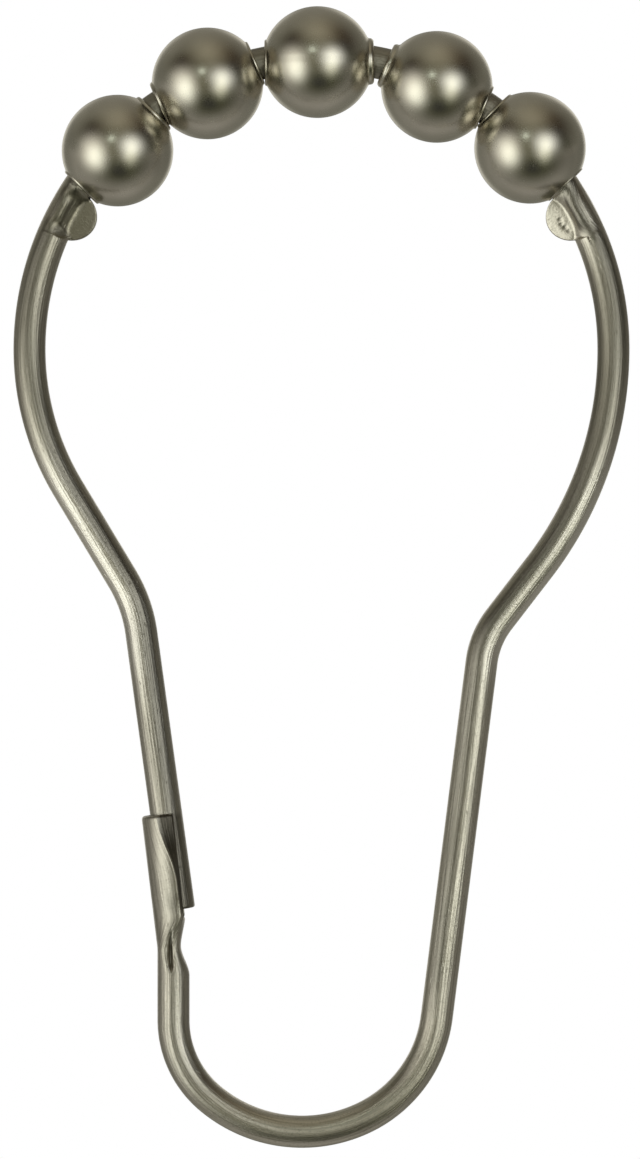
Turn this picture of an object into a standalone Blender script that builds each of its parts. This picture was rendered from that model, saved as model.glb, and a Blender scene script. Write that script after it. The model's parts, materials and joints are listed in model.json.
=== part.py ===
"""Shower curtain hook: one length of sprung steel wire with five hollow beads that roll on it.

Metres, +Z up, seen from the front along +Y with +X to the right. The origin is the rod seat, the lowest
point of the middle bead, which rides on the curtain rod. The wire runs in the XZ plane from the cut end of
its left leg, up over the ring that carries the beads, down the right leg, round the loop that holds the
curtain, and up to a folded channel that clasps the left leg.
"""

import math

import bmesh
import bpy
from mathutils import Vector

# Wire
WIRE_DIAMETER = 0.0022
END_CHAMFER = 0.00015

# Ring, along the centreline of the wire
RING_RADIUS = 0.0200

# Left side, from the ring down to the cut end of the leg
LEFT_SHOULDER_RADIUS = 0.0185
LEFT_SHOULDER_ANGLE = math.radians(31.0)
LEFT_DIAGONAL_LENGTH = 0.0072
LEFT_NECK_RADIUS = 0.0098
LEFT_LEG_TILT = math.radians(7.8)
LEFT_LEG_LENGTH = 0.0191

# Right side, from the ring down to the loop
RIGHT_SHOULDER_RADIUS = 0.0245
RIGHT_SHOULDER_ANGLE = math.radians(37.6)
RIGHT_DIAGONAL_LENGTH = 0.0045
RIGHT_NECK_RADIUS = 0.0060
RIGHT_LEG_TILT = math.radians(7.2)
RIGHT_LEG_LENGTH = 0.0245

# Curtain loop: the radius of its bottom arc is worked out, so that it spans from leg to leg
LOOP_RIGHT_RADIUS = 0.0089
LOOP_RIGHT_TURN = math.radians(58.0)
LOOP_BOTTOM_TURN = math.radians(64.5)
LOOP_LEFT_RADIUS = 0.0070

# Clasp: the end of the wire, flattened and folded into a channel that holds the left leg
CLASP_TILT = math.radians(6.9)
CLASP_BEND_RADIUS = 0.0030
CLASP_GRIP = 0.0066
CLASP_ROOT = 0.0024
LEG_END_GAP = 0.0002
CHANNEL_WALL = 0.00048
CHANNEL_CLEARANCE = 0.00012
CHANNEL_RIM_REACH = 0.0003
CHANNEL_RIM_BEVEL = 0.0009
CHANNEL_FLOOR_RUN = 0.0006
PINCH_WIDTH = 0.0016
PINCH_CREASE = 0.00028
PINCH_CREASE_ANGLE = math.radians(60.0)
PINCH_CREASE_SPREAD = math.radians(22.0)
PINCH_FADE = 0.0021

# Ears: flats pressed into the inner half of the wire, which stop the beads
EAR_RADIUS = 0.00178
EAR_INSET = 0.00058
EAR_THICKNESS = 0.0009
EAR_STEP = 0.00045
EAR_EDGE = 0.0002
EAR_FADE = 0.00012
EAR_CLEARANCE = 0.00018

# Beads: hollow, with a short collar round each hole. They hang loose, so each lies a little in or out, and
# the plays are the room left between one bead and the next
BEAD_SEATS = (-0.0002, 0.00011, -0.00003, -0.00007, 0.00016)
BEAD_PLAYS = (0.0001, 0.00005, 0.00078, 0.0)
BEAD_ROW_SHIFT = 0.00004
BEAD_RADIUS = 0.00383
BEAD_WALL = 0.00045
BEAD_AXIS_DROP = 0.0003
BEAD_HALF_LENGTH = 0.00352
BORE_CLEARANCE = 0.0003
COLLAR_WALL = 0.0002
COLLAR_FLARE = 0.0003
BEAD_GAP = 0.00008

# Facets
WIRE_SIDES = 24
ARC_STEP = math.radians(6.0)
BEAD_SIDES = 20
BEAD_OUTER_STEPS = 12
BEAD_INNER_STEPS = 7
EAR_STEPS = 8
GRIP_STEPS = 3
FLOOR_STEPS = 3
ROOT_STEPS = 6
FADE_STEPS = 5
SHARP_ANGLE = math.radians(40.0)

wire_radius = WIRE_DIAMETER / 2
bead_path_radius = RING_RADIUS - BEAD_AXIS_DROP
ring_centre = Vector((0.0, 0.0, BEAD_RADIUS - bead_path_radius - BEAD_SEATS[len(BEAD_SEATS) // 2]))
bore_radius = wire_radius + BORE_CLEARANCE
collar_radius = bore_radius + COLLAR_WALL
channel_inner = wire_radius + CHANNEL_CLEARANCE
channel_outer = channel_inner + CHANNEL_WALL
channel_offset = channel_outer - wire_radius


def clear_scene():
    for thing in list(bpy.data.objects):
        bpy.data.objects.remove(thing, do_unlink=True)


def metal(name, colour, roughness):
    """A Principled metal of one colour."""
    material = bpy.data.materials.new(name)
    material.use_nodes = True
    material.diffuse_color = (*colour, 1.0)
    shader = material.node_tree.nodes["Principled BSDF"]
    shader.inputs["Base Color"].default_value = (*colour, 1.0)
    shader.inputs["Metallic"].default_value = 1.0
    shader.inputs["Roughness"].default_value = roughness
    return material


def finish(mesh, material):
    """Smooth shading that keeps the sharp edges, and the material."""
    mesh.materials.append(material)
    mesh.shade_smooth()
    mesh.set_sharp_from_angle(angle=SHARP_ANGLE)


# Bead places


def ball_end():
    """Where the ball meets its collar: (along the bore, from its axis)."""
    out = collar_radius + COLLAR_FLARE
    return math.sqrt(BEAD_RADIUS**2 - out**2), out


def bead_half_pitch():
    """Half the angle between two beads that meet, by their collars or by the ends of their balls."""
    halves = []
    for along, out in ((BEAD_HALF_LENGTH, collar_radius), ball_end()):
        reach = bead_path_radius - out
        halves.append(math.atan(along / reach) + math.asin(BEAD_GAP / 2 / math.hypot(along, reach)))
    return max(halves)


def bead_angles():
    """The angle of each bead from the top of the ring, clockwise."""
    pitches = [2 * bead_half_pitch() + play / bead_path_radius for play in BEAD_PLAYS]
    first = BEAD_ROW_SHIFT / bead_path_radius - sum(pitches) / 2
    return [first + sum(pitches[:index]) for index in range(len(BEAD_SEATS))]


def ear_angle():
    """The angle of each ear's centre from the top: just past the collar of the outer bead."""
    half_chord = math.sqrt(EAR_RADIUS**2 - (wire_radius - EAR_INSET) ** 2)
    past_bead = math.atan(BEAD_HALF_LENGTH / bead_path_radius)
    outermost = max(abs(angle) for angle in bead_angles())
    return outermost + past_bead + (half_chord + EAR_FADE + EAR_CLEARANCE) / RING_RADIUS


# Wire route


class Route:
    """A centreline in the XZ plane, laid as straight runs and arcs from a start and a heading."""

    def __init__(self, start, heading):
        self.runs = []
        self.end = start
        self.heading = heading
        self.length = 0.0

    def straight(self, length):
        self.lay(length, 0.0)

    def turn(self, radius, angle):
        """An arc. A positive angle turns clockwise, seen from the front."""
        self.lay(radius * abs(angle), angle)

    def lay(self, length, angle):
        self.runs.append((self.length, length, self.end, self.heading, angle))
        self.length += length
        self.end, self.heading = self.place(self.length)

    def place(self, distance):
        """The point and the heading at a distance along the wire."""
        run = next(run for run in reversed(self.runs) if distance >= run[0] or run is self.runs[0])
        begin, length, start, heading, angle = run
        part = distance - begin
        turned = angle * part / length
        chord = part * (math.sin(turned / 2) / (turned / 2) if turned else 1.0)
        direction = heading - turned / 2
        point = start + chord * Vector((math.cos(direction), 0.0, math.sin(direction)))
        return point, heading - turned


def heading_vector(heading):
    return Vector((math.cos(heading), 0.0, math.sin(heading)))


def inward_vector(heading):
    """The side of the wire that faces the inside of the hook: to the right of the heading."""
    return Vector((math.sin(heading), 0.0, -math.cos(heading)))


def lay_left_side(route):
    """From the cut end up the leg, the neck and the shoulder to the top of the ring."""
    route.straight(LEFT_LEG_LENGTH)
    route.turn(LEFT_NECK_RADIUS, LEFT_LEG_TILT - LEFT_SHOULDER_ANGLE)
    route.straight(LEFT_DIAGONAL_LENGTH)
    route.turn(LEFT_SHOULDER_RADIUS, LEFT_SHOULDER_ANGLE)
    route.turn(RING_RADIUS, math.pi / 2)


def lay_right_side(route):
    """From the top of the ring down the shoulder, the neck and the leg."""
    route.turn(RING_RADIUS, math.pi / 2)
    route.turn(RIGHT_SHOULDER_RADIUS, RIGHT_SHOULDER_ANGLE)
    route.straight(RIGHT_DIAGONAL_LENGTH)
    route.turn(RIGHT_NECK_RADIUS, RIGHT_LEG_TILT - RIGHT_SHOULDER_ANGLE)
    route.straight(RIGHT_LEG_LENGTH)


def wire_route():
    """The whole centreline, with the distances along it of the top of the ring and of the clasp's bend."""
    leg_heading = math.pi / 2 + LEFT_LEG_TILT
    trial = Route(Vector(), leg_heading)
    lay_left_side(trial)
    cut_end = ring_centre + Vector((0.0, 0.0, RING_RADIUS)) - trial.end
    route = Route(cut_end, leg_heading)
    lay_left_side(route)
    top = route.length
    lay_right_side(route)

    # The channel's bore is centred on the leg at its mouth, and the stem stands below its bend.
    clasp_heading = math.pi / 2 + CLASP_TILT
    mouth = cut_end + CLASP_GRIP * heading_vector(leg_heading) - channel_offset * inward_vector(clasp_heading)
    bend_end = mouth - (CLASP_GRIP + CLASP_ROOT) * heading_vector(clasp_heading)
    bend_chord = 2 * CLASP_BEND_RADIUS * math.sin(CLASP_TILT / 2)
    stem_top = bend_end - bend_chord * heading_vector(math.pi / 2 + CLASP_TILT / 2)

    # The loop's bottom arc takes the width that its two corners leave.
    start = route.heading
    after_right = start - LOOP_RIGHT_TURN
    after_bottom = after_right - LOOP_BOTTOM_TURN
    upright = start - (math.pi - RIGHT_LEG_TILT)
    width = stem_top.x - route.end.x
    width -= LOOP_RIGHT_RADIUS * (math.sin(start) - math.sin(after_right))
    width -= LOOP_LEFT_RADIUS * (math.sin(after_bottom) - math.sin(upright))
    bottom_radius = width / (math.sin(after_right) - math.sin(after_bottom))
    route.turn(LOOP_RIGHT_RADIUS, LOOP_RIGHT_TURN)
    route.turn(bottom_radius, LOOP_BOTTOM_TURN)
    route.turn(LOOP_LEFT_RADIUS, after_bottom - upright)
    route.straight(stem_top.z - route.end.z)
    bend = route.length
    route.turn(CLASP_BEND_RADIUS, -CLASP_TILT)
    route.straight(CLASP_GRIP + CLASP_ROOT)
    return route, top, bend


# Wire sections: points (inward, across), all with the same number of sides, starting on the inner side


def section_angles():
    return [2 * math.pi * index / WIRE_SIDES for index in range(WIRE_SIDES)]


def signed_angle(angle):
    return angle - 2 * math.pi if angle > math.pi else angle


def round_section(radius=wire_radius):
    return [(radius * math.cos(angle), radius * math.sin(angle)) for angle in section_angles()]


def ear_section(offset):
    """The wire with its inner half pressed flat into a disc, at a distance from the disc's centre."""
    reach = EAR_INSET + math.sqrt(max(EAR_RADIUS**2 - offset**2, 0.0))
    half = EAR_THICKNESS / 2
    flat = [(reach, 0.0), (reach, half - EAR_EDGE), (reach - EAR_EDGE, half)]
    flat += [((reach + EAR_STEP) / 2, half), (EAR_STEP, half)]
    points = []
    for angle, (inward, across) in zip(section_angles(), round_section()):
        index = round(abs(signed_angle(angle)) / (2 * math.pi / WIRE_SIDES))
        if index < len(flat):
            inward = flat[index][0]
            across = math.copysign(flat[index][1], across)
        points.append((inward, across))
    return points


def channel_section(floor=0.0):
    """The folded channel, its bore side first and then its outer side. A floor of 1 fills it to its rims."""
    corner = math.acos((CHANNEL_RIM_REACH - CHANNEL_RIM_BEVEL) / channel_outer)
    inner_steps = WIRE_SIDES // 8
    outer_steps = WIRE_SIDES // 2 - inner_steps - 1
    points = []
    for angle in section_angles():
        signed = signed_angle(angle)
        index = round(abs(signed) / (2 * math.pi / WIRE_SIDES))
        if index <= inner_steps:
            turned = math.pi - math.pi / 2 * index / inner_steps
            inward, across = channel_inner * math.cos(turned), channel_inner * math.sin(turned)
            inward += CHANNEL_RIM_REACH * index / inner_steps
            inward += (CHANNEL_RIM_REACH - inward) * floor
        else:
            turned = corner + (math.pi - corner) * (index - inner_steps - 1) / outer_steps
            inward, across = channel_outer * math.cos(turned), channel_outer * math.sin(turned)
        points.append((channel_offset + inward, math.copysign(across, signed)))
    return points


def pinched_section():
    """The narrow neck under the channel, with a crease pressed into its front and back."""
    half = PINCH_WIDTH / 2
    points = []
    for angle in section_angles():
        inward = half - wire_radius + half * math.cos(angle)
        across = wire_radius * math.sin(angle)
        from_crease = abs(abs(signed_angle(angle)) - PINCH_CREASE_ANGLE)
        crease = PINCH_CREASE * max(0.0, 1 - from_crease / PINCH_CREASE_SPREAD)
        points.append((inward, across - math.copysign(crease, across)))
    return points


def blend(first, second, share):
    """A section part of the way from one to the other, eased at both ends."""
    share = share * share * (3 - 2 * share)
    return [
        (a[0] + (b[0] - a[0]) * share, a[1] + (b[1] - a[1]) * share) for a, b in zip(first, second)
    ]


# Stations: pairs of a distance along the wire and a section


def ear_stations(centre):
    half = math.sqrt(EAR_RADIUS**2 - (wire_radius - EAR_INSET) ** 2)
    stations = [(centre - half - EAR_FADE, round_section())]
    for step in range(EAR_STEPS + 1):
        offset = -half * math.cos(math.pi * step / EAR_STEPS)
        stations.append((centre + offset, ear_section(offset)))
    stations.append((centre + half + EAR_FADE, round_section()))
    return stations


def clasp_stations(bend, mouth):
    """From the round stem through the pinch at the bend to the channel's mouth."""
    stations = []
    for step in range(FADE_STEPS):
        share = step / FADE_STEPS
        stations.append((bend - PINCH_FADE * (1 - share), blend(round_section(), pinched_section(), share)))
    hollow = mouth - CLASP_GRIP - LEG_END_GAP
    filled = hollow - CHANNEL_FLOOR_RUN
    for step in range(ROOT_STEPS):
        share = step / ROOT_STEPS
        here = bend + (filled - bend) * share
        stations.append((here, blend(pinched_section(), channel_section(floor=1.0), share)))
    for step in range(FLOOR_STEPS):
        share = step / FLOOR_STEPS
        stations.append((filled + CHANNEL_FLOOR_RUN * share, channel_section(floor=1 - share)))
    for step in range(GRIP_STEPS + 1):
        stations.append((hollow + (mouth - hollow) * step / GRIP_STEPS, channel_section()))
    return stations


def plain_stations(route):
    """Round sections at the ends of each run and at short steps round each arc."""
    section = round_section()
    stations = []
    for begin, length, _, _, angle in route.runs:
        steps = max(1, math.ceil(abs(angle) / ARC_STEP))
        stations += [(begin + length * step / steps, section) for step in range(steps)]
    return stations


def all_stations():
    """The wire's route and its stations in order, the formed ones in place of plain ones near them."""
    route, top, bend = wire_route()
    swing = RING_RADIUS * ear_angle()
    zones = [ear_stations(top - swing), ear_stations(top + swing), clasp_stations(bend, route.length)]
    zones.append([(0.0, round_section(wire_radius - END_CHAMFER)), (END_CHAMFER, round_section())])
    room = wire_radius / 4
    stations = [
        station
        for station in plain_stations(route)
        if not any(zone[0][0] - room < station[0] < zone[-1][0] + room for zone in zones)
    ]
    for zone in zones:
        stations += zone
    return route, sorted(stations, key=lambda station: station[0])


def make_wire(material):
    """The wire: a skin over its sections, with a flat face at each end."""
    route, stations = all_stations()
    bm = bmesh.new()
    rings = []
    for distance, section in stations:
        point, heading = route.place(distance)
        inside = inward_vector(heading)
        corners = [point + inside * inward + Vector((0.0, across, 0.0)) for inward, across in section]
        rings.append([bm.verts.new(corner) for corner in corners])
    for ring, following in zip(rings, rings[1:]):
        for index in range(WIRE_SIDES):
            after = (index + 1) % WIRE_SIDES
            bm.faces.new((ring[index], ring[after], following[after], following[index]))
    bm.faces.new(rings[0])
    bm.faces.new(rings[-1])
    bmesh.ops.recalc_face_normals(bm, faces=bm.faces)
    mesh = bpy.data.meshes.new("wire_frame")
    bm.to_mesh(mesh)
    bm.free()
    finish(mesh, material)
    wire = bpy.data.objects.new("wire_frame", mesh)
    bpy.context.collection.objects.link(wire)


# Beads


def bead_profile():
    """Half a bead cut along its bore, as a closed outline of points (along the bore, from its axis)."""
    bead_inner = BEAD_RADIUS - BEAD_WALL
    outer_start = math.asin(ball_end()[1] / BEAD_RADIUS)
    inner_start = math.asin(bore_radius / bead_inner)
    outline = [(BEAD_HALF_LENGTH, bore_radius), (BEAD_HALF_LENGTH, collar_radius)]
    for step in range(BEAD_OUTER_STEPS + 1):
        angle = outer_start + (math.pi - 2 * outer_start) * step / BEAD_OUTER_STEPS
        outline.append((BEAD_RADIUS * math.cos(angle), BEAD_RADIUS * math.sin(angle)))
    outline += [(-BEAD_HALF_LENGTH, collar_radius), (-BEAD_HALF_LENGTH, bore_radius)]
    for step in range(BEAD_INNER_STEPS + 1):
        angle = math.pi - inner_start - (math.pi - 2 * inner_start) * step / BEAD_INNER_STEPS
        outline.append((bead_inner * math.cos(angle), bead_inner * math.sin(angle)))
    return outline


def bead_mesh(material):
    """The profile spun once round the bore, which is the mesh's own X axis."""
    bm = bmesh.new()
    corners = [bm.verts.new((along, 0.0, out)) for along, out in bead_profile()]
    edges = [bm.edges.new(pair) for pair in zip(corners, corners[1:] + corners[:1])]
    bmesh.ops.spin(
        bm,
        geom=edges,
        cent=(0.0, 0.0, 0.0),
        axis=(1.0, 0.0, 0.0),
        angle=2 * math.pi,
        steps=BEAD_SIDES,
        use_merge=True,
        use_duplicate=False,
    )
    bmesh.ops.recalc_face_normals(bm, faces=bm.faces)
    mesh = bpy.data.meshes.new("bead")
    bm.to_mesh(mesh)
    bm.free()
    finish(mesh, material)
    return mesh


def make_beads(material):
    """Five copies of one bead, each centred on the ring with its bore along the wire there."""
    mesh = bead_mesh(material)
    for number, (angle, seat) in enumerate(zip(bead_angles(), BEAD_SEATS), start=1):
        bead = bpy.data.objects.new(f"roller_bead_{number}", mesh)
        outward = Vector((math.sin(angle), 0.0, math.cos(angle)))
        bead.location = ring_centre + (bead_path_radius + seat) * outward
        bead.rotation_euler = (0.0, angle, 0.0)
        bpy.context.collection.objects.link(bead)


def main():
    clear_scene()
    make_wire(metal("brushed_nickel_wire", (0.33, 0.31, 0.26), 0.34))
    make_beads(metal("satin_nickel_bead", (0.36, 0.33, 0.27), 0.38))


main()
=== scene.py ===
import json
import math

import bpy
import numpy as np
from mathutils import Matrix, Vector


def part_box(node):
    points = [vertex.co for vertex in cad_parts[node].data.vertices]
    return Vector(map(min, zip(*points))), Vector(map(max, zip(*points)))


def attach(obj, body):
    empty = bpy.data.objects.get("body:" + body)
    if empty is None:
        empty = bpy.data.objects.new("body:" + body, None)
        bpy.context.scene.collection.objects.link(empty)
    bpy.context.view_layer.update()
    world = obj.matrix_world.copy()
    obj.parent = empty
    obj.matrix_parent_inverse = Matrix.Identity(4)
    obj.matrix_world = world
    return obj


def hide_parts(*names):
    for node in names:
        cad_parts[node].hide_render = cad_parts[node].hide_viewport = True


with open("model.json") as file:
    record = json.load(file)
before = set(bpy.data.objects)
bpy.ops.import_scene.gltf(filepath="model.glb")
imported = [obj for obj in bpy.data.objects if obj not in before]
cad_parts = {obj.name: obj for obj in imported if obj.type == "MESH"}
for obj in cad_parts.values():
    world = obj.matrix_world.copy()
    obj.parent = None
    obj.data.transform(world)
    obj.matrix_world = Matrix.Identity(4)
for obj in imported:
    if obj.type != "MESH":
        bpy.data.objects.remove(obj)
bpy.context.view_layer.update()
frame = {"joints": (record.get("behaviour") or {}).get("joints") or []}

# The wire's route. The hook is one length of drawn steel wire, bent cold on a former and nickel plated. It
# runs from the cut end of the left leg up round the ring, down the right leg, round the curtain loop and up
# to the clasp. Each run is an arc or a straight, given as its length and the angle that it turns through.

wire_radius = 0.0011
ring_radius = 0.0200
channel_wall = 0.00048
channel_clearance = 0.00012
channel_bore = wire_radius + channel_clearance
channel_offset = channel_bore + channel_wall - wire_radius
clasp_tilt = math.radians(6.9)
clasp_bend_radius = 0.0030
clasp_grip = 0.0066
clasp_root = 0.0024


def arc(radius, degrees):
    """A run that turns clockwise by some degrees at a radius: its length and its angle in radians."""
    turn = math.radians(degrees)
    return radius * abs(turn), turn


def run_ends(start, heading, runs):
    """Starts and headings of the runs laid end to end: a chord points half way between its end headings."""
    points = [np.array(start, float)]
    headings = [heading]
    for length, turn in runs:
        chord = length * np.sinc(turn / 2 / math.pi)
        towards = headings[-1] - turn / 2
        points.append(points[-1] + chord * np.array([math.cos(towards), math.sin(towards)]))
        headings.append(headings[-1] - turn)
    return points, headings


def unit(heading):
    """The direction of a heading, as (x, z)."""
    return np.array([math.cos(heading), math.sin(heading)])


_, wire_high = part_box("wire_frame")
leg_heading = math.radians(97.8)
left_leg = (0.0191, 0.0)
left_neck = arc(0.0098, -23.2)
left_slope = (0.0072, 0.0)
left_shoulder = arc(0.0185, 31.0)
half_ring = arc(ring_radius, 90.0)
right_shoulder = arc(0.0245, 37.6)
right_slope = (0.0045, 0.0)
right_neck = arc(0.0060, -30.4)
right_leg = (0.0245, 0.0)
left_runs = [left_leg, left_neck, left_slope, left_shoulder, half_ring]
right_runs = [half_ring, right_shoulder, right_slope, right_neck, right_leg]

ring_top = np.array([0.0, wire_high.z - wire_radius])
trial, _ = run_ends((0.0, 0.0), leg_heading, left_runs)
cut_end = ring_top - trial[-1]
leg_points, leg_headings = run_ends(cut_end, leg_heading, left_runs + right_runs)
leg_foot, foot_heading = leg_points[-1], leg_headings[-1]

# The clasp stands on the leg, and the loop's bottom arc takes the width that its corners leave.
clasp_heading = math.pi / 2 + clasp_tilt
towards_leg = np.array([math.sin(clasp_heading), -math.cos(clasp_heading)])
mouth = cut_end + clasp_grip * unit(leg_heading) - channel_offset * towards_leg
bend_end = mouth - (clasp_grip + clasp_root) * unit(clasp_heading)
bend_chord = 2 * clasp_bend_radius * math.sin(clasp_tilt / 2)
stem_top = bend_end - bend_chord * unit(math.pi / 2 + clasp_tilt / 2)
loop_right_radius = 0.0089
loop_left_radius = 0.0070
loop_right_degrees = 58.0
loop_bottom_degrees = 64.5
after_right = foot_heading - math.radians(loop_right_degrees)
after_bottom = after_right - math.radians(loop_bottom_degrees)
upright = -1.5 * math.pi
width = stem_top[0] - leg_foot[0]
width -= loop_right_radius * (math.sin(foot_heading) - math.sin(after_right))
width -= loop_left_radius * (math.sin(after_bottom) - math.sin(upright))
bottom_radius = width / (math.sin(after_right) - math.sin(after_bottom))
loop_runs = [arc(loop_right_radius, loop_right_degrees), arc(bottom_radius, loop_bottom_degrees)]
loop_runs.append((loop_left_radius * (after_bottom - upright), after_bottom - upright))
loop_points, _ = run_ends(leg_foot, foot_heading, loop_runs)
stem = (stem_top[1] - loop_points[-1][1], 0.0)
clasp_runs = [stem, (clasp_bend_radius * clasp_tilt, -clasp_tilt), (clasp_grip + clasp_root, 0.0)]
wire_runs = left_runs + right_runs + loop_runs + clasp_runs
run_points, run_headings = run_ends(cut_end, leg_heading, wire_runs)
run_lengths = np.array([length for length, _ in wire_runs])
run_turns = np.array([turn for _, turn in wire_runs])
run_starts = np.concatenate([[0.0], np.cumsum(run_lengths)])
top_at = run_starts[len(left_runs)]
bend_at = run_starts[-2]
mouth_at = run_starts[-1]


def centreline(distance):
    """Points (x, z) and headings at distances along the wire: from the start of the run a chord reaches each
    point, which points half way between the headings of its ends."""
    run = np.clip(np.searchsorted(run_starts, distance, side="right") - 1, 0, len(run_turns) - 1)
    along = distance - run_starts[run]
    turned = run_turns[run] * along / run_lengths[run]
    heading = np.array(run_headings)[run] - turned
    towards = heading + turned / 2
    chord = along * np.sinc(turned / 2 / math.pi)
    direction = np.stack([np.cos(towards), np.sin(towards)], axis=1)
    return np.array(run_points)[run] + chord[:, None] * direction, heading


# The wire's sections. Presses form the round wire in three places: an ear on each side of the ring that stops
# the beads, and the pinched and folded clasp. Half of each section is a row of points (inward, across), from
# the side that faces the inside of the hook round the front to the outer side, and the back mirrors it.

inner_steps = 18
outer_steps = 30
half_steps = inner_steps + outer_steps
around = 2 * half_steps
columns = np.arange(half_steps + 1.0)
round_angles = math.pi * columns / half_steps


def smooth(value, low, high):
    """A weight that eases from 0 at low to 1 at high."""
    share = np.clip((value - low) / (high - low), 0.0, 1.0)
    return share * share * (3 - 2 * share)


def mix(first, second, weight):
    """First where the weight is 0 and second where it is 1, station by station."""
    return first + (second - first) * weight[:, None, None]


def round_sections(count):
    """The drawn wire: a circle, inward by the cosine of the angle and across by its sine."""
    half = wire_radius * np.stack([np.cos(round_angles), np.sin(round_angles)], axis=1)
    return np.repeat(half[None], count, axis=0)


ear_radius = 0.00178
ear_inset = 0.00058
ear_half_thickness = 0.00045
ear_crease = 0.00070
ear_crease_spread = 0.0005
ear_dish_run = 0.00025
ear_edge = 0.00008
ear_fade = 0.00012
ear_clearance = 0.00018
slope_straightness = 0.6
ear_chord = math.sqrt(ear_radius**2 - (wire_radius - ear_inset) ** 2)
edge_steps = 4
face_steps = 16
slope_steps = 10
slope_column = edge_steps + face_steps
ridge_steps = half_steps - slope_column - slope_steps


def ear_sections(offset, ridge_in, taper, dish, dents):
    """The inner half pressed into a disc: at a distance along the wire from the disc's centre its edge lies
    at the inset plus the root of the radius squared less the distance squared. From a sharp stamped edge the
    face runs level, or thinner towards the edge by the taper, and sinks by the dish at a crease. From the
    crease the wire swells in a slope to a ridge, and on round its outer half. Each dent is a small round pit
    in the face, given as its depth, its place along the wire and inward, and its radius."""
    reach = ear_inset + np.sqrt(np.maximum(ear_radius**2 - offset**2, (wire_radius - ear_inset) ** 2))
    crease = ear_crease + ear_crease_spread * np.minimum(np.abs(offset) / ear_chord, 1.0) ** 4
    crease = np.minimum(crease, reach - 2 * ear_edge)
    edge_turn = math.pi / 2 * np.arange(edge_steps + 1) / edge_steps
    edge_in = reach[:, None] - ear_edge * (1 - np.cos(edge_turn))
    face = np.arange(1, face_steps + 1) / face_steps
    face_in = edge_in[:, -1:] + (crease[:, None] - edge_in[:, -1:]) * face

    def face_height(inward):
        """Half the thickness of the face at places inward."""
        beyond = inward - crease[:, None]
        return ear_half_thickness - taper * beyond - dish * np.exp(-beyond / ear_dish_run)

    edge_across = face_height(edge_in[:, -1:]) - ear_edge + ear_edge * np.sin(edge_turn)
    edge_across[:, 0] = 0.0
    face_across = face_height(face_in)
    for depth, dent_offset, dent_in, dent_radius in dents:
        apart = np.hypot(face_in - dent_in, (offset - dent_offset)[:, None])
        face_across = face_across - depth * np.exp(-((apart / dent_radius) ** 2))
    ridge_across = math.sqrt(wire_radius**2 - ridge_in**2)
    rise = np.arange(1, slope_steps + 1) / slope_steps
    slope_in = crease[:, None] + (ridge_in - crease[:, None]) * rise
    swell = slope_straightness * rise + (1 - slope_straightness) * smooth(rise, 0.0, 1.0)
    slope_across = face_across[:, -1:] + (ridge_across - face_across[:, -1:]) * swell
    ridge_turn = math.acos(ridge_in / wire_radius)
    rest = ridge_turn + (math.pi - ridge_turn) * np.arange(1, ridge_steps + 1) / ridge_steps
    rest_in = np.tile(wire_radius * np.cos(rest), (len(offset), 1))
    rest_across = np.tile(wire_radius * np.sin(rest), (len(offset), 1))
    inward = np.concatenate([edge_in, face_in, slope_in, rest_in], axis=1)
    across = np.concatenate([edge_across, face_across, slope_across, rest_across], axis=1)
    return np.stack([inward, across], axis=2)


def ear_weight(offset, ridge_chord, ridge_fade, hollow):
    """Where the ear's die presses: on the face as far as the disc's chord, and on the slope ever less far up
    to the ridge, so that the round wire comes out of the ear on a slant. It fades over a length that grows
    from the crease to the ridge by the climb raised to hollow."""
    climb = np.clip((columns - slope_column) / slope_steps, 0.0, 1.0)
    chord = ear_chord + (ridge_chord - ear_chord) * climb
    fade = ear_fade + (ridge_fade - ear_fade) * climb**hollow
    return 1 - smooth(np.abs(offset)[:, None], chord - fade / 2, chord + fade)


def softened(sections, where, passes):
    """Sections blurred by their neighbours round the wire and along it, as a press rounds what it folds."""
    for _ in range(passes):
        blurred = sections.copy()
        blurred[:, 1:-1] = (sections[:, :-2] + 2 * sections[:, 1:-1] + sections[:, 2:]) / 4
        blurred[1:-1] = (blurred[:-2] + 2 * blurred[1:-1] + blurred[2:]) / 4
        sections = sections + (blurred - sections) * where[:, :, None]
    return sections


crest_steps = 9
lip_grip = wire_radius + 0.00003
lip_across = 0.00109
rim_low, rim_growth = 0.00041, 0.00007
mouth_share = 0.30
crest_low, crest_fall = 0.00020, 0.00085
middle_low, middle_fall = 0.00040, 0.00020
channel_half, channel_spread, mouth_spread = 0.00142, 0.00023, 0.00020
spread_from, spread_to = -0.05, 0.28


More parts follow.
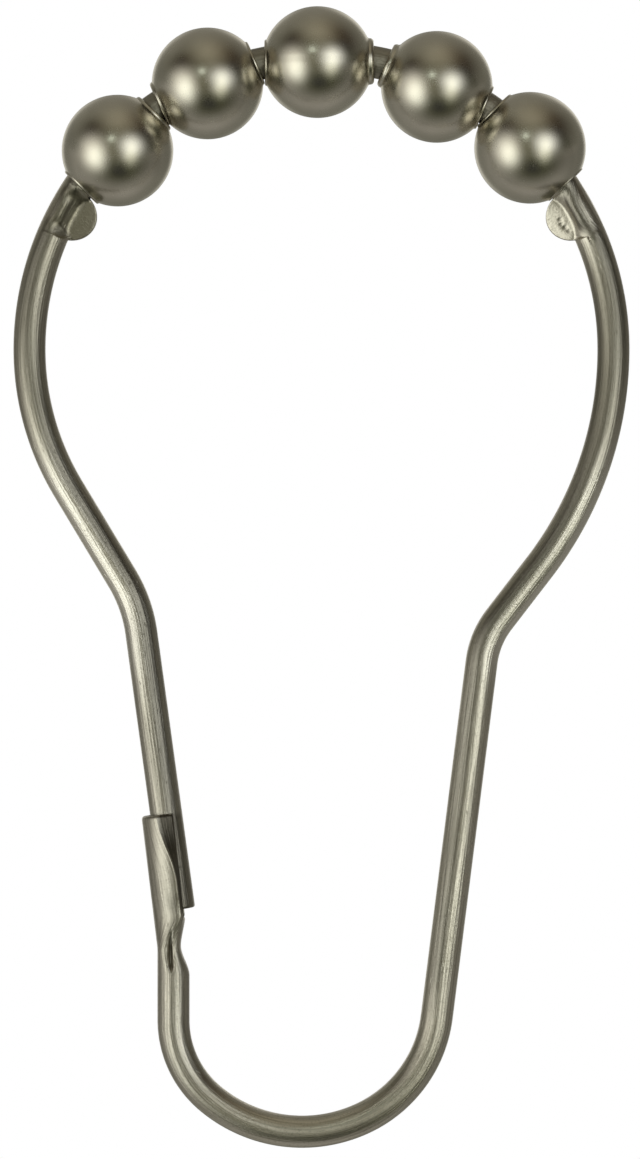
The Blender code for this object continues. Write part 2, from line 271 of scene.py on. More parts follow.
def channel_sections(share):
    """The folded channel round the leg's axis, from the leg's end at share 0 to the mouth at 1. Its bore is
    a circle that tightens towards the lips. From each lip a straight bevel climbs to a sharp crest, and from
    the crest the outside runs round as an ellipse. In polar form round the same axis its radius is the root,
    for each angle, of ((in - middle) / half_in)^2 + (across / half_across)^2 = 1."""
    rim = rim_low + rim_growth * share
    closing = np.arange(inner_steps + 1) / inner_steps
    lip_turn = np.arccos(rim / lip_grip)[:, None]
    bore_turn = math.pi + (lip_turn - math.pi) * closing
    bore = channel_bore + (lip_grip - channel_bore) * closing**2
    near_mouth = smooth(share, mouth_share, 1.0)
    crest_in = crest_low - crest_fall * near_mouth
    middle = middle_low - middle_fall * near_mouth
    half_in = channel_bore + channel_wall + middle
    half_across = channel_half + channel_spread * smooth(share, spread_from, spread_to)
    half_across = half_across + mouth_spread * near_mouth
    crest_across = half_across * np.sqrt(1 - ((crest_in - middle) / half_in) ** 2)
    climb = np.arange(crest_steps) / crest_steps
    bevel_in = rim[:, None] + (crest_in - rim)[:, None] * climb
    bevel_across = lip_across + (crest_across - lip_across)[:, None] * climb
    start = np.arctan2(crest_across, crest_in)[:, None]
    outside_steps = outer_steps - crest_steps
    turn = start + (math.pi - start) * np.arange(outside_steps) / (outside_steps - 1)
    square = (np.cos(turn) / half_in[:, None]) ** 2 + (np.sin(turn) / half_across[:, None]) ** 2
    shift = (middle / half_in**2)[:, None] * np.cos(turn)
    constant = ((middle / half_in) ** 2 - 1)[:, None]
    ellipse = (shift + np.sqrt(shift**2 - square * constant)) / square
    inward = np.concatenate([bore * np.cos(bore_turn), bevel_in, ellipse * np.cos(turn)], axis=1)
    across = np.concatenate([bore * np.sin(bore_turn), bevel_across, ellipse * np.sin(turn)], axis=1)
    return np.stack([channel_offset + inward, across], axis=2)


floor_bulge = 0.00007


def solid_sections(count):
    """The solid root of the channel under the leg's end: the channel's own outside, with its bore filled by
    a floor from lip to lip, whose middle stands out by the bulge and which falls off by the square."""
    sections = channel_sections(np.zeros(count))
    share = np.arange(inner_steps + 1) / inner_steps
    lip = sections[:, inner_steps:inner_steps + 1]
    sections[:, :inner_steps + 1, 0] = lip[:, :, 0] + floor_bulge * (1 - share**2)
    sections[:, :inner_steps + 1, 1] = lip[:, :, 1] * share
    return sections


neck_half = 0.0008
neck_power = 3.2


def pinched_sections(count):
    """The narrow neck under the channel: a rounded box, |x|^power + |y|^power = 1 in half widths, whose outer
    side keeps the wire's line."""
    spread = np.abs(np.cos(round_angles)) ** neck_power + np.abs(np.sin(round_angles)) ** neck_power
    radius = spread ** (-1 / neck_power)
    inward = neck_half - wire_radius + neck_half * radius * np.cos(round_angles)
    section = np.stack([inward, wire_radius * radius * np.sin(round_angles)], axis=1)
    return np.repeat(section[None], count, axis=0)


crease_depth = 0.00042
crease_from = -0.00013
crease_dip = 0.00007
crease_rise = 0.00026
crease_width, crease_widening = 0.00008, 0.00005
face_low, face_high = 0.0003, 0.0008


def groove(sections, distance):
    """How far the crease presses each point of the neck's front and back, from 0 to 1: a bell across the
    neck, e to the minus of the distance from its middle in widths, squared. Along the wire it grows and
    fades, and its middle dips outwards and then rises inwards."""
    depth = smooth(distance, bend_at - 0.0020, bend_at - 0.0012)
    depth = depth * (1 - smooth(distance, bend_at - 0.0008, bend_at + 0.0015))
    centre = crease_from - crease_dip * smooth(distance, bend_at - 0.0017, bend_at - 0.0007)
    centre = centre + crease_rise * smooth(distance, bend_at - 0.0002, bend_at + 0.0013)
    width = crease_width + crease_widening * depth
    bell = np.exp(-(((sections[:, :, 0] - centre[:, None]) / width[:, None]) ** 2))
    return depth[:, None] * bell * smooth(sections[:, :, 1], face_low, face_high)


# The wire as one closed surface: stations along it, closer where it is formed, each with its section
# mirrored to the back. Its cut ends are rounded a little by tumbling before the plating.

leg_round = 0.00018
leg_draw_in = 0.75
mouth_round = 0.00026
mouth_draw_in = 0.7


def zone(low, high, step):
    """Evenly spaced distances from low up to high, about a step apart."""
    return np.linspace(low, high, max(2, round((high - low) / step)), endpoint=False)


# The ears stand just past the outer beads, which run on a path a little inside the ring's middle line.
bead_path = 0.0197
bead_stop = 0.00352
bead_swings = [abs(math.atan2(joint["axis"][2], joint["axis"][0])) for joint in frame["joints"]]
stop_swing = max(bead_swings) + math.atan(bead_stop / bead_path)
ear_swing = ring_radius * stop_swing + ear_chord + ear_fade + ear_clearance
ear_places = (top_at - ear_swing, top_at + ear_swing)

# The right ear's pits, and for each ear its form, how its ridge is pressed, how much its face leans inwards
# towards the front, and from which column of the section and in how many passes it is softened.
right_dents = (
    (0.00004, -0.00012, 0.00142, 0.00014),
    (0.00005, 0.00022, 0.00150, 0.00012),
    (0.00007, 0.00054, 0.00136, 0.00017),
    (0.00005, 0.00090, 0.00124, 0.00013),
)
left_ear = {
    "form": {"ridge_in": -0.00012, "taper": 0.0, "dish": 0.00006, "dents": ()},
    "press": {"ridge_chord": 0.00070, "ridge_fade": 0.00028, "hollow": 1.0},
    "lean": 0.0,
    "soft_from": 10.0,
    "passes": 16,
}
right_ear = {
    "form": {"ridge_in": 0.00040, "taper": 0.15, "dish": 0.00010, "dents": right_dents},
    "press": {"ridge_chord": 0.00100, "ridge_fade": 0.00130, "hollow": 0.4},
    "lean": 0.2,
    "soft_from": 15.0,
    "passes": 9,
}
soft_columns = 3.0
fine, coarse = 0.00006, 0.00034
ear_reach = ear_chord + 2 * ear_fade
clasp_start = bend_at - 0.0036
stations = np.concatenate([
    zone(0.0, leg_round, leg_round / 6),
    zone(leg_round, ear_places[0] - ear_reach, coarse),
    zone(ear_places[0] - ear_reach, ear_places[0] + ear_reach, fine),
    zone(ear_places[0] + ear_reach, ear_places[1] - ear_reach, coarse),
    zone(ear_places[1] - ear_reach, ear_places[1] + ear_reach, fine),
    zone(ear_places[1] + ear_reach, clasp_start, coarse),
    zone(clasp_start, mouth_at - mouth_round, fine),
    zone(mouth_at - mouth_round, mouth_at, mouth_round / 8),
    [mouth_at],
])
rows = len(stations)
sections = round_sections(rows)
lean = np.zeros((rows, half_steps + 1))
for ear_place, ear in zip(ear_places, (left_ear, right_ear)):
    offset = stations - ear_place
    weight = ear_weight(offset, **ear["press"])
    sections = sections + (ear_sections(offset, **ear["form"]) - sections) * weight[:, :, None]
    lean += ear["lean"] * weight[:, :1] * np.maximum(sections[:, :, 0] - ear_crease, 0.0)
    pressed = 1 - smooth(np.abs(offset), ear_chord, ear_chord + ear_fade)
    beyond_edge = smooth(columns, ear["soft_from"], ear["soft_from"] + soft_columns)
    sections = softened(sections, pressed[:, None] * beyond_edge, ear["passes"])

# The clasp: the wire is pinched in to a neck at the bend, widens to the solid root and opens as the channel
# at the leg's end. The press softens its folds, and then sets the crease into the neck.
below_leg = 0.0002
hollow_at = mouth_at - clasp_grip - below_leg
clasp_share = np.clip((stations - hollow_at) / (mouth_at - hollow_at), 0.0, 1.0)
sections = mix(sections, pinched_sections(rows), smooth(stations, bend_at - 0.0021, bend_at))
solid_weight = np.clip((stations - bend_at + below_leg) / (hollow_at - bend_at), 0.0, 1.0)
solid_weight = (solid_weight + smooth(solid_weight, 0.0, 1.0)) / 2
sections = mix(sections, solid_sections(rows), solid_weight)
sections = mix(sections, channel_sections(clasp_share), smooth(stations, hollow_at - 0.0005, hollow_at))
folded = smooth(stations, bend_at - 0.0030, bend_at - 0.0020)
folded = folded * (1 - smooth(stations, hollow_at + 0.0002, hollow_at + 0.0012))
off_lip = smooth(columns, inner_steps + 1.0, inner_steps + 4.0)
fold_passes = 6
sections = softened(sections, folded[:, None] * off_lip, fold_passes)
crease = groove(sections, stations)
sections[:, :, 1] -= crease_depth * crease
sections = softened(sections, folded[:, None] * off_lip, 1)

# Painted shade darkens the colour where shade falls: in the neck's crease, in the channel's bore and on its
# bevels, as a painted contact shadow on the leg beside the lips, as a painted shadow along the step where the
# left ear's die stopped at its lower end and under the bead above it, and in the right ear's pits. Its
# strengths are 1 where the metal is hidden.
crease_shade_strength = 0.80
bore_shade_strength = 0.82
lip_shadow_strength = 0.42
ear_shadow_strength = 0.70
pit_shade_strength = 0.50
bevel_column = inner_steps + crest_steps
# Where the painted shadows at the left ear lie: along the step at its lower end, and under the bead above it.
die_at, die_slant, die_width = 0.00082, 0.54, 0.00011
bead_shadow_at, bead_shadow_length = 0.00105, 0.00034
bead_shadow_in, bead_shadow_width = 0.00072, 0.00030
hollow = smooth(stations, hollow_at - 0.0004, hollow_at + 0.0004)[:, None]
held = 1 - smooth(stations, clasp_grip - 0.0002, clasp_grip + 0.0001)[:, None]
section_in = sections[:, :, 0]
beside_lip = smooth(section_in, 0.00015, 0.00040) * (1 - smooth(section_in, 0.00095, 0.00108))
below_ear = ear_places[0] - stations[:, None]
die_step_shadow = np.exp(-(((below_ear - die_at - die_slant * section_in) / die_width) ** 2))
die_step_shadow = die_step_shadow * smooth(section_in, -0.0001, 0.0001)
bead_shadow_across = (section_in - bead_shadow_in) / bead_shadow_width
bead_shadow = np.exp(-((below_ear + bead_shadow_at) / bead_shadow_length) ** 2 - bead_shadow_across**2)
# Painted shade in the neck's crease, in the bore and on the bevels, and a painted contact shadow beside the
# lips.
wire_painted_shade = crease_shade_strength * crease
wire_painted_shade = np.maximum(wire_painted_shade, hollow * (bore_shade_strength * smooth(bevel_column - columns, 0.0, 1.0)))
wire_painted_shade = np.maximum(wire_painted_shade, lip_shadow_strength * held * beside_lip)
wire_painted_shade = np.maximum(wire_painted_shade, np.maximum(ear_shadow_strength * die_step_shadow, ear_shadow_strength * bead_shadow))
# Painted shade in the right ear's pits.
for _, dent_offset, dent_in, dent_radius in right_dents:
    apart = np.hypot(section_in - dent_in, stations[:, None] - ear_places[1] - dent_offset)
    wire_painted_shade = np.maximum(wire_painted_shade, pit_shade_strength * np.exp(-((apart / dent_radius) ** 2)))

# Rounded ends: the last points of the leg and of the channel's outside draw in by a quarter of an ellipse.
leg_near = np.maximum(leg_round - stations, 0.0)
leg_draw = leg_round - np.sqrt(np.maximum(leg_round**2 - leg_near**2, 0.0))
sections *= (1 - leg_draw_in * leg_draw / wire_radius)[:, None, None]
mouth_near = np.maximum(stations - (mouth_at - mouth_round), 0.0)
mouth_draw = mouth_draw_in * (mouth_round - np.sqrt(np.maximum(mouth_round**2 - mouth_near**2, 0.0)))
axis_point = np.array([channel_offset, 0.0])
outside = columns > inner_steps
from_axis = sections - axis_point
from_axis /= np.maximum(np.linalg.norm(from_axis, axis=2, keepdims=True), 1e-9)
sections -= from_axis * (mouth_draw[:, None] * outside)[:, :, None]


def all_round(front_half, back_half):
    """The whole way round each section: the front half, then the back half from the outer side inwards."""
    return np.concatenate([front_half, back_half[:, half_steps - 1:0:-1]], axis=1)


wire_points, wire_headings = centreline(stations)
inward = all_round(sections[:, :, 0], sections[:, :, 0])
forward = all_round(sections[:, :, 1] - lean, -sections[:, :, 1] - lean)
wire_grid = np.stack([
    wire_points[:, 0, None] + np.sin(wire_headings)[:, None] * inward,
    -forward,
    wire_points[:, 1, None] - np.cos(wire_headings)[:, None] * inward,
], axis=2)


def grid_faces(row_count, column_count, closed_rows=False):
    """Quads of a grid whose columns close on themselves, and whose rows do too if asked."""
    row = np.arange(row_count if closed_rows else row_count - 1)[:, None]
    column = np.arange(column_count)[None, :]
    after_row = (row + 1) % row_count
    after = (column + 1) % column_count
    near, far = row * column_count, after_row * column_count
    return np.stack((near + column, far + column, far + after, near + after), axis=2).reshape(-1, 4)


def make_mesh(name, points, faces):
    """A smooth shaded object from an array of points and a list of faces."""
    mesh = bpy.data.meshes.new(name)
    mesh.from_pydata(points.tolist(), [], faces)
    mesh.shade_smooth()
    mesh.validate()
    piece = bpy.data.objects.new(name, mesh)
    bpy.context.collection.objects.link(piece)
    return piece


def keep(piece, name, kind, field, values):
    """Keep a value for each point of a piece, which its finish reads by name."""
    attribute = piece.data.attributes.new(name, kind, "POINT")
    attribute.data.foreach_set(field, values.astype(np.float32).ravel())


# The cut end of the leg is one flat face. At the mouth a strip of faces joins the bore to the outside, first
# round the front half and then, mirrored, round the back.
wall_faces = grid_faces(rows, around).tolist()
leg_cap = list(range(around))
mouth_row = (rows - 1) * around
inner = np.arange(inner_steps + 1)
opposite = half_steps - np.round(inner * outer_steps / inner_steps).astype(int)
front_cap = []
for first, second, out_first, out_second in zip(inner[:-1], inner[1:], opposite[:-1], opposite[1:]):
    strip = list(range(out_first, out_second - 1, -1))
    front_cap.append([first] + strip + ([second] if out_second > second else []))
back_cap = [[(around - corner) % around for corner in reversed(face)] for face in front_cap]
cap_faces = [[mouth_row + corner for corner in face] for face in front_cap + back_cap]
nominal = 2 * math.pi * np.arange(around) / around
wire_place = np.stack([
    np.repeat(stations[:, None], around, axis=1),
    np.repeat(wire_radius * np.cos(nominal)[None, :], rows, axis=0),
    np.repeat(wire_radius * np.sin(nominal)[None, :], rows, axis=0),
], axis=2)
wire = make_mesh("wire_hook", wire_grid.reshape(-1, 3), wall_faces + [leg_cap] + cap_faces)
keep(wire, "place", "FLOAT_VECTOR", "vector", wire_place)
# The painted shade's strength at each point, which darkens the wire's colour.
keep(wire, "painted_shade", "FLOAT", "value", all_round(wire_painted_shade, wire_painted_shade))

# The channel's crests stay sharp: the edges along their two columns, from a little above the leg's end.
crest_begins = 0.0008
crest_row = np.searchsorted(stations, hollow_at + crest_begins)
crest_column = inner_steps + 1 + crest_steps
crest_columns = (crest_column, around - crest_column)
pairs = np.empty(2 * len(wire.data.edges), dtype=np.int32)
wire.data.edges.foreach_get("vertices", pairs)
pairs = pairs.reshape(-1, 2)
lengthwise = (np.abs(pairs[:, 0] - pairs[:, 1]) == around) & (pairs.min(axis=1) >= crest_row * around)
sharp = lengthwise & np.isin(pairs[:, 0] % around, crest_columns)
wire.data.attributes.new("sharp_edge", "BOOLEAN", "EDGE").data.foreach_set("value", sharp)

# The wire's finish: satin nickel over drawn steel, with fine lines along the wire, which the ears' stamped
# faces have lost, and short scuffs. Its colour holds painted shade, which dims the highlights: on bands of
# the legs' inner sides and of the ring's outer side, on the wire under the beads, on the right ring's inner
# side, on the left leg and the stem beside the clasp, and over the left ear's ridge and crease. Round the
# ring's widest the colour is darker and the wire rougher, and the wire under the beads is rougher too. The
# shoulders' outer sides are smoother and carry a painted highlight.


class Shade:
    """A socket of a shader tree. Arithmetic on it adds Math nodes, and node() adds any other node."""

    def __init__(self, tree, socket=None):
        self.tree = tree
        self.socket = socket

    def node(self, kind, settings, values, output=0):
        """A node of a kind: its settings are set first, then the values or links of its sockets."""
        made = self.tree.nodes.new(kind)
        for name, value in settings.items():
            setattr(made, name, value)
        for name, value in values.items():
            if isinstance(value, Shade):
                self.tree.links.new(value.socket, made.inputs[name])
            else:
                made.inputs[name].default_value = value
        return Shade(self.tree, None if output is None else made.outputs[output])

    def math(self, operation, first, second):
        """A Math node's operation on two values or sockets."""
        return self.node("ShaderNodeMath", {"operation": operation}, {0: first, 1: second})

    def __add__(self, other):
        return self.math("ADD", self, other)

    def __radd__(self, other):
        return self.math("ADD", other, self)

    def __sub__(self, other):
        return self.math("SUBTRACT", self, other)

    def __rsub__(self, other):
        return self.math("SUBTRACT", other, self)

    def __mul__(self, other):
        return self.math("MULTIPLY", self, other)

    def __rmul__(self, other):
        return self.math("MULTIPLY", other, self)

    def size(self):
        """The value without its sign."""
        return self.node("ShaderNodeMath", {"operation": "ABSOLUTE"}, {0: self})

    def above(self, limit):
        """1 where the value is above the limit, and 0 elsewhere."""
        return self.math("GREATER_THAN", self, limit)

    def along(self, axis):
        """How far the vector reaches along an axis: their dot product."""
        return self.node("ShaderNodeVectorMath", {"operation": "DOT_PRODUCT"}, {0: self, 1: axis}, output=1)

    def tinted(self, tint, under):
        """This value times a tint, added to the colour under it."""
        settings = {"operation": "MULTIPLY_ADD"}
        return self.node("ShaderNodeVectorMath", settings, {0: self, 1: tint, 2: under})

    def stretched(self, scale):
        """The vector with each part multiplied by a scale."""
        return self.node("ShaderNodeVectorMath", {"operation": "MULTIPLY"}, {0: self, 1: scale})

    def noise(self, scale, detail=3.0, roughness=0.55):
        """Noise from 0 to 1 over this vector."""
        values = {"Vector": self, "Scale": scale, "Detail": detail, "Roughness": roughness}
        return self.node("ShaderNodeTexNoise", {}, values)

    def between(self, low, high):
        """This value spread from low..high to 0..1, eased at both ends."""
        values = {"Value": self, "From Min": low, "From Max": high}
        return self.node("ShaderNodeMapRange", {"interpolation_type": "SMOOTHSTEP"}, values)

    def blend(self, first, second):
        """The first colour where this is 0 and the second where it is 1."""
        return self.node("ShaderNodeMix", {"data_type": "RGBA"}, {0: self, 6: first, 7: second}, output=2)


def metal(name):
    """A new metal with its shader node and a starting socket for expressions."""
    material = bpy.data.materials.new(name)
    material.use_nodes = True
    shader = material.node_tree.nodes["Principled BSDF"]
    shader.inputs["Metallic"].default_value = 1.0
    return material, shader, Shade(material.node_tree)


def connect(tree, source, target):
    """Link a value to a node's input."""
    tree.links.new(source.socket, target)


wire_finish, shader, start = metal("satin_nickel_wire")
tree = wire_finish.node_tree
# A point's place is its distance along the wire and where it lies in the round section, inwards and forwards.
place = start.node("ShaderNodeAttribute", {"attribute_name": "place"}, {}, output=1)
drawn = place.stretched((160.0, 9000.0, 9000.0)).noise(1.0, detail=4.0)
broad = place.stretched((90.0, 2600.0, 2600.0)).noise(1.0, detail=2.0)
scuffs = place.stretched((1500.0, 5200.0, 5200.0)).noise(1.0, detail=2.0).between(0.66, 0.78)
cloud = place.stretched((160.0, 700.0, 700.0)).noise(1.0)
grain = place.noise(7000.0, detail=2.0)
distance = place.along((1.0, 0.0, 0.0))
inward = place.along((0.0, 1.0 / wire_radius, 0.0))
near_left = 1 - (distance - ear_places[0]).size().between(0.0013, 0.0022)
near_right = 1 - (distance - ear_places[1]).size().between(0.0015, 0.0023)
stamped = (near_left + near_right) * inward.between(0.10, 0.35)
drawn = drawn * (1 - stamped)
broad = broad * (1 - stamped)
# Where the painted shade and highlight and the darker, rougher parts lie: distances along the wire in metres,
# and places inward as shares of the wire's radius.
past_top = distance - top_at
from_top = past_top.size()
lower = from_top.between(0.029, 0.036)
widest = 1 - (from_top - ring_radius * math.pi / 2).size().between(0.002, 0.011)
inner_side = inward.between(-0.05, 0.25)
shoulder = from_top.between(0.036, 0.042) * (1 - from_top.between(0.053, 0.058)) * (1 - inner_side)
right_inner = past_top.between(0.022, 0.028) * (1 - past_top.between(0.040, 0.046)) * inner_side
in_loop = distance.between(0.148, 0.153)
left_ear_shade = 0.45 * inward.between(-0.90, -0.55) + 0.22 * inward.between(-0.15, 0.20)
left_ear_shade = left_ear_shade * near_left
inner_band = inward.between(-0.06, 0.20) * (1 - inward.between(0.55, 0.80))
outer_band = (1 - inward.between(-0.12, 0.05)) * inward.between(-0.85, -0.60)
strung = 1 - from_top.between(0.0185, 0.0195)
shaded_bands = lower * (1 - in_loop) * inner_band + (1 - lower) * (1 - strung) * outer_band
by_clasp = 1 - distance.between(0.019, 0.023) + distance.between(0.170, 0.175)
pale_nickel, bright_nickel = (0.66, 0.62, 0.525, 1.0), (0.73, 0.69, 0.595, 1.0)
line_tint, grain_tint = (0.33, 0.31, 0.25, 1.0), (0.34, 0.32, 0.26, 1.0)
painted_highlight_colour, clasp_shade_colour = (0.88, 0.84, 0.75, 1.0), (0.20, 0.19, 0.17, 1.0)
band_shade_colour, darker_tone = (0.16, 0.15, 0.125, 1.0), (0.20, 0.185, 0.145, 1.0)
left_ear_shade_colour, painted_shade_colour = (0.25, 0.23, 0.165, 1.0), (0.085, 0.075, 0.055, 1.0)
painted_shade = start.node("ShaderNodeAttribute", {"attribute_name": "painted_shade"}, {}, output=2)
tint = cloud.between(0.3, 0.7).blend(pale_nickel, bright_nickel)
tint = (0.55 * drawn.between(0.44, 0.62)).blend(tint, line_tint)
tint = (0.40 * grain.between(0.52, 0.70)).blend(tint, grain_tint)
# A painted highlight on the shoulders' outer sides.
tint = (0.95 * shoulder).blend(tint, painted_highlight_colour)
# Painted shade on bands of the legs' inner sides and of the ring's outer side, dimming their highlights.
tint = (0.70 * shaded_bands).blend(tint, band_shade_colour)
# Painted shade on the left leg and the stem beside the clasp, dimming their highlights.
tint = (0.34 * by_clasp).blend(tint, clasp_shade_colour)
# Painted shade on the wire under the beads and on the right ring's inner side; round the ring's widest the
# colour is only darker.
tint = (0.46 * widest + 0.55 * strung + 0.36 * right_inner).blend(tint, darker_tone)
# Painted shade over the left ear's ridge and crease, dimming their highlights.
tint = left_ear_shade.blend(tint, left_ear_shade_colour)
# Painted shade: the colour darkens towards near black by its strength at each point.
tint = painted_shade.blend(tint, painted_shade_colour)
connect(tree, tint, shader.inputs["Base Color"])
roughness = 0.20 + 0.11 * drawn + 0.08 * broad + 0.12 * scuffs
roughness = roughness + 0.09 * stamped + 0.06 * widest + 0.15 * strung - 0.04 * shoulder
connect(tree, roughness, shader.inputs["Roughness"])
height = 0.7 * drawn + 0.5 * broad - 0.3 * scuffs + 0.3 * grain
bump = start.node("ShaderNodeBump", {}, {"Strength": 0.60, "Distance": 0.00007, "Height": height})
connect(tree, bump, shader.inputs["Normal"])
wire.data.materials.append(wire_finish)
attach(wire, "frame")
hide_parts("wire_frame")

# The beads. Each is rolled from thin strip into a hollow ball with a short collar round each hole and a fine
# butt seam from hole to hole, tumbled smooth and satin nickel plated. It hangs loose on the wire, and on the
# inner side of the ring the collars of neighbours nearly touch.

bead_radius = 0.00382
bead_wall = 0.00045
collar_radius = 0.00159
collar_foot = 0.00172
bore_radius = 0.00131
hollow_bore = 0.00140
hollow_mouth = hollow_bore + 0.00006
lip_length, lip_height = 0.00028, 0.00022
least_sweep = 0.00001
seam_depth, seam_width = 0.00004, 0.00007
bead_around = 120
lip_steps, sweep_steps, ball_steps, hollow_steps = 8, 7, 64, 24

# Each bead's seam is at a turn from its front upwards. Its collars end at two distances from its middle.
seam_turns = (2.35, 4.1, 0.02, 2.9, 3.6)
collar_ends = (
    (0.00360, 0.00369),
    (0.00369, 0.00362),
    (0.00362, 0.00386),
    (0.00384, 0.00361),
    (0.00361, 0.00356),
)


def collar_profile(end):
    """A collar cut along the bore, from inside the hole to the ball, as points (along, out): the hole's
    mouth, a flat end, a lip rounded by a quarter of an ellipse, and a hollow sweep into the ball, a quadratic
    curve whose middle point lies where the tube would meet the ball's tangent."""
    foot = math.sqrt(bead_radius**2 - collar_foot**2)
    corner = foot + (collar_foot - collar_radius) * collar_foot / foot
    lip_run = min(lip_length, end - corner - least_sweep)
    lip_rise = min(lip_height, lip_run)
    lip_turn = math.pi / 2 * np.arange(lip_steps + 1) / lip_steps
    lip_along = end - lip_run * (1 - np.cos(lip_turn))
    lip_out = collar_radius - lip_rise * (1 - np.sin(lip_turn))
    hole = np.array([
        [end - 0.00030, hollow_bore],
        [end - 0.00010, bore_radius + 0.00003],
        [end - 0.00004, bore_radius],
        [end - 0.00001, bore_radius + 0.00001],
        [end, bore_radius + 0.00004],
    ])
    share = np.arange(1, sweep_steps) / sweep_steps
    near = end - lip_run
    sweep_along = (1 - share) ** 2 * near + 2 * share * (1 - share) * corner + share**2 * foot
    sweep_out = (1 - share**2) * collar_radius + share**2 * collar_foot
    lip = np.stack([lip_along, lip_out], axis=1)
    sweep = np.stack([sweep_along, sweep_out], axis=1)
    return np.concatenate([hole, lip, sweep])


def bead_profile(left_end, right_end):
    """Half of a bead cut along its bore, as a closed loop of points (along, out): the left collar, the ball
    from left to right, the right collar, and the wall inside back to the left. The ball and the wall inside
    are arcs of two circles."""
    start_turn = math.asin(collar_foot / bead_radius)
    ball_turn = math.pi - start_turn
    ball_turn = ball_turn - (math.pi - 2 * start_turn) * np.arange(ball_steps + 1) / ball_steps
    ball = bead_radius * np.stack([np.cos(ball_turn), np.sin(ball_turn)], axis=1)
    inner_radius = bead_radius - bead_wall
    inner_turn = math.asin(hollow_mouth / inner_radius)
    hollow_turn = inner_turn + (math.pi - 2 * inner_turn) * np.arange(hollow_steps + 1) / hollow_steps
    hollow = inner_radius * np.stack([np.cos(hollow_turn), np.sin(hollow_turn)], axis=1)
    left = collar_profile(left_end) * np.array([-1.0, 1.0])
    return np.concatenate([left, ball, collar_profile(right_end)[::-1], hollow])


def bead_points(profile, seam_turn):
    """The profile turned round the bore, from the front upwards, as points (along, front, up). A fine groove
    along the seam draws the outside in by its depth times e to the minus of the distance from it in widths,
    squared."""
    turn = 2 * math.pi * np.arange(bead_around) / bead_around
    along = np.repeat(profile[:, 0, None], bead_around, axis=1)
    size = np.hypot(profile[:, 0], profile[:, 1])[:, None]
    away = np.abs((turn - seam_turn + math.pi) % (2 * math.pi) - math.pi) * bead_radius
    draw = seam_depth * np.exp(-((away / seam_width) ** 2)) * (size > bead_radius - bead_wall / 2)
    out = profile[:, 1, None] * (1 - draw / size)
    return np.stack([along, out * np.cos(turn), out * np.sin(turn)], axis=2).reshape(-1, 3)


bead_finish, shader, start = metal("satin_nickel_bead")
tree = bead_finish.node_tree
pale_nickel, bright_nickel = (0.61, 0.575, 0.485, 1.0), (0.66, 0.625, 0.535, 1.0)
place = start.node("ShaderNodeTexCoord", {}, {}, output=3)
cloud = place.noise(420.0, detail=3.0)
grain = place.noise(9000.0, detail=2.0)
pits = place.noise(2600.0, detail=2.0).between(0.68, 0.78)
tint = cloud.between(0.3, 0.7).blend(pale_nickel, bright_nickel)
connect(tree, tint, shader.inputs["Base Color"])
roughness = 0.23 + 0.04 * cloud + 0.03 * grain + 0.08 * pits
connect(tree, roughness, shader.inputs["Roughness"])
height = grain + 0.5 * cloud - 0.6 * pits
bump = start.node("ShaderNodeBump", {}, {"Strength": 0.12, "Distance": 0.00002, "Height": height})
connect(tree, bump, shader.inputs["Normal"])

for number, (joint, seam_turn, ends) in enumerate(zip(frame["joints"], seam_turns, collar_ends), start=1):
    profile = bead_profile(*ends)
    axis = np.array(joint["axis"])
    front = np.array([0.0, -1.0, 0.0])
    up = np.cross(front, axis)
    turned = bead_points(profile, seam_turn) @ np.stack([axis, front, up]) + np.array(joint["pos_m"])
    bead_faces = grid_faces(len(profile), bead_around, closed_rows=True).tolist()
    bead = make_mesh(f"bead_{number}_ball", turned, bead_faces)
    bead.data.materials.append(bead_finish)
    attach(bead, f"bead_{number}")
    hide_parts(f"roller_bead_{number}")

# The studio: a seamless white bowl round the hook with a flat floor, which only the camera sees, as a shop's
# cut-out photograph has pure white round the metal.

bowl_radius = 1.5
bowl_floor = -0.72
bowl_steps = 48
bowl_around = 96
rise = np.pi * np.arange(1, bowl_steps) / bowl_steps
turn = 2 * np.pi * np.arange(bowl_around) / bowl_around
flat = np.maximum(-np.cos(rise), bowl_floor)
bowl_grid = bowl_radius * np.stack([
    np.sin(rise)[:, None] * np.cos(turn),
    np.sin(rise)[:, None] * np.sin(turn),
    np.repeat(flat[:, None], bowl_around, axis=1),
], axis=2)
bowl_rows = bowl_steps - 1
bowl_top = [(bowl_rows - 1) * bowl_around + k for k in range(bowl_around - 1, -1, -1)]
bowl_faces = [face[::-1] for face in grid_faces(bowl_rows, bowl_around).tolist()]
bowl_faces += [list(range(bowl_around)), bowl_top]
bowl = make_mesh("studio_bowl", bowl_grid.reshape(-1, 3), bowl_faces)
bowl_paint = bpy.data.materials.new("studio_white")
bowl_paint.use_nodes = True
bowl_paint.node_tree.nodes.clear()
paint = Shade(bowl_paint.node_tree)
glow = paint.node("ShaderNodeEmission", {}, {"Color": (1.0, 1.0, 1.0, 1.0), "Strength": 1.0})
paint.node("ShaderNodeOutputMaterial", {}, {"Surface": glow}, output=None)
bowl.data.materials.append(bowl_paint)
bowl.visible_glossy = False
bowl.visible_shadow = False

# The light: a dim warm room with soft boxes to the left and right of the camera, a small lamp over it, dark
# corners, a pale ceiling, floor and back wall, and two boxes behind the hook. Each is a soft patch of the
# room round the hook.

room_light = (0.137, 0.140, 0.115)
darkest = (0.02, 0.02, 0.02)
boxy = 1.5
world = bpy.data.worlds.new("studio_room")
bpy.context.scene.world = world
world.use_nodes = True
room = Shade(world.node_tree)
direction = room.node("ShaderNodeTexCoord", {}, {}, output=0)
light = room.node("ShaderNodeCombineXYZ", {}, dict(enumerate(room_light)))


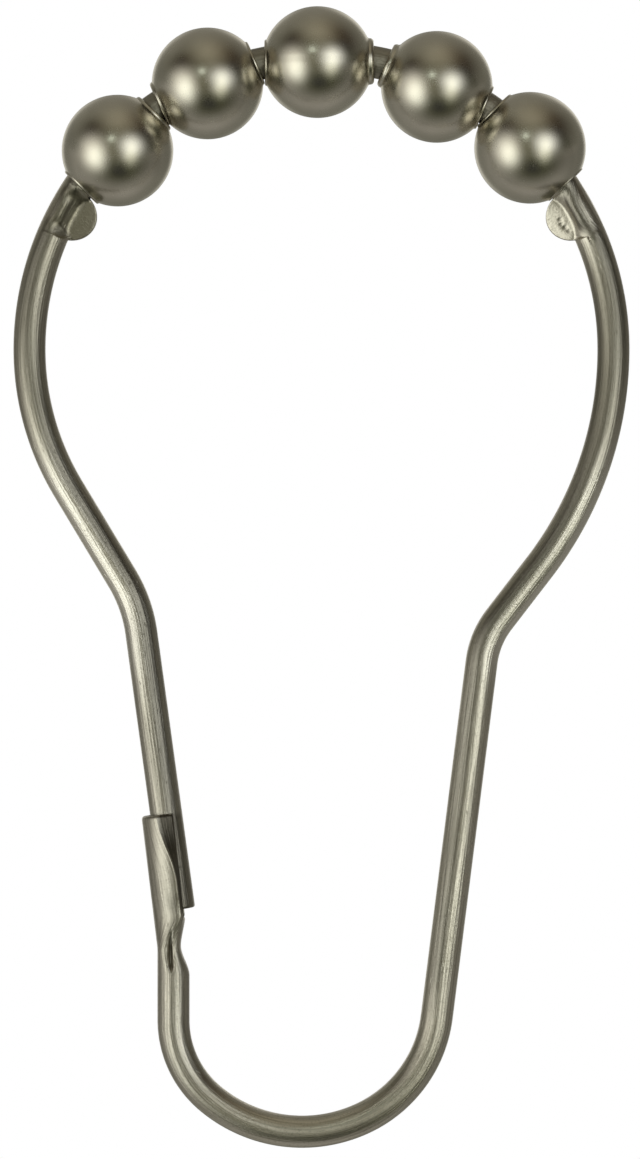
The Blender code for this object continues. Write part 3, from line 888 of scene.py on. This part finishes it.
def with_patch(light, azimuth, elevation, half_width, half_height, tint, squareness=1.0):
    """The room's light with a soft patch added: the tint times e to the minus of (x^2 + y^2) raised to the
    squareness, where x and y are the direction's parts across and up in half widths and half heights of the
    patch. Azimuth 0 is the camera's side and 90 the right. A negative tint darkens."""
    turn, lift = math.radians(azimuth), math.radians(elevation)
    towards = (math.sin(turn) * math.cos(lift), -math.cos(turn) * math.cos(lift), math.sin(lift))
    aside = (math.cos(turn) / half_width, math.sin(turn) / half_width, 0.0)
    upward = (-math.sin(turn) * math.sin(lift), math.cos(turn) * math.sin(lift), math.cos(lift))
    upward = tuple(part / half_height for part in upward)
    x = direction.along(aside)
    y = direction.along(upward)
    spread = room.math("POWER", x * x + y * y, squareness)
    bright = room.node("ShaderNodeMath", {"operation": "EXPONENT"}, {0: 0 - spread})
    facing = direction.along(towards).above(0.0)
    return (bright * facing).tinted(tint, light)


# The left box, the right box and its spill, and the lamp over the camera.
light = with_patch(light, -53, -6, 0.46, 0.52, (1.00, 0.98, 0.93), boxy)
light = with_patch(light, -46, -15, 0.30, 0.37, (0.78, 0.84, 0.78), boxy)
light = with_patch(light, 31, 7, 0.40, 0.31, (1.23, 1.27, 1.30), boxy)
light = with_patch(light, 31, -8, 0.21, 0.39, (0.76, 0.78, 0.64), boxy)
light = with_patch(light, 19, -15, 0.17, 0.15, (0.42, 0.42, 0.40))
light = with_patch(light, -11, 21, 0.09, 0.07, (2.4, 2.7, 2.5), boxy)

# The pale ceiling, the dark in front of the hook: below, high on both sides and round the camera itself.
light = with_patch(light, 22, 62, 0.67, 0.64, (0.276, 0.252, 0.187))
light = with_patch(light, 7, -47, 0.79, 0.41, (-0.147, -0.147, -0.147))
light = with_patch(light, -59, 34, 0.49, 0.34, (-0.285, -0.288, -0.255))
light = with_patch(light, 65, 45, 0.60, 0.64, (-0.268, -0.271, -0.226))
light = with_patch(light, -2, 0, 0.33, 0.33, (-0.063, -0.071, -0.097))

# The pale floor, the wall behind and the two boxes in front of it.
light = with_patch(light, 176, -77, 1.19, 0.43, (0.229, 0.213, 0.215))
light = with_patch(light, 188, 39, 0.99, 1.05, (0.111, 0.102, 0.099))
light = with_patch(light, 163, 10, 0.22, 0.40, (0.75, 0.73, 0.68), boxy)
light = with_patch(light, -160, 4, 0.22, 0.40, (0.62, 0.61, 0.57), boxy)
light = light.node("ShaderNodeVectorMath", {"operation": "MAXIMUM"}, {0: light, 1: darkest})
connect(world.node_tree, light, world.node_tree.nodes["Background"].inputs["Color"])
world.node_tree.nodes["Background"].inputs["Strength"].default_value = 1.0

# The camera looks straight along +Y from 0.45 m, framed so that the hook fills the picture as in the photo:
# the frame's origin is at its pixel of the photo, and the picture's middle is straight ahead.

pixel = 0.0000685
photo_rows = 1159
middle_column, middle_row = 320.0, 579.5
origin_column, origin_row = 321.5, 118.02
view_height = photo_rows * pixel
camera_distance = 0.45
sensor_width = 36.0
camera_data = bpy.data.cameras.new("camera")
camera_data.sensor_width = sensor_width
camera_data.lens = sensor_width * camera_distance / view_height
camera = bpy.data.objects.new("camera", camera_data)
camera_x = (middle_column - origin_column) * pixel
camera_z = (origin_row - middle_row) * pixel
camera.location = (camera_x, -camera_distance, camera_z)
camera.rotation_euler = (math.pi / 2, 0.0, 0.0)
bpy.context.collection.objects.link(camera)
bpy.context.scene.camera = camera
bpy.context.scene.view_settings.view_transform = "Standard"
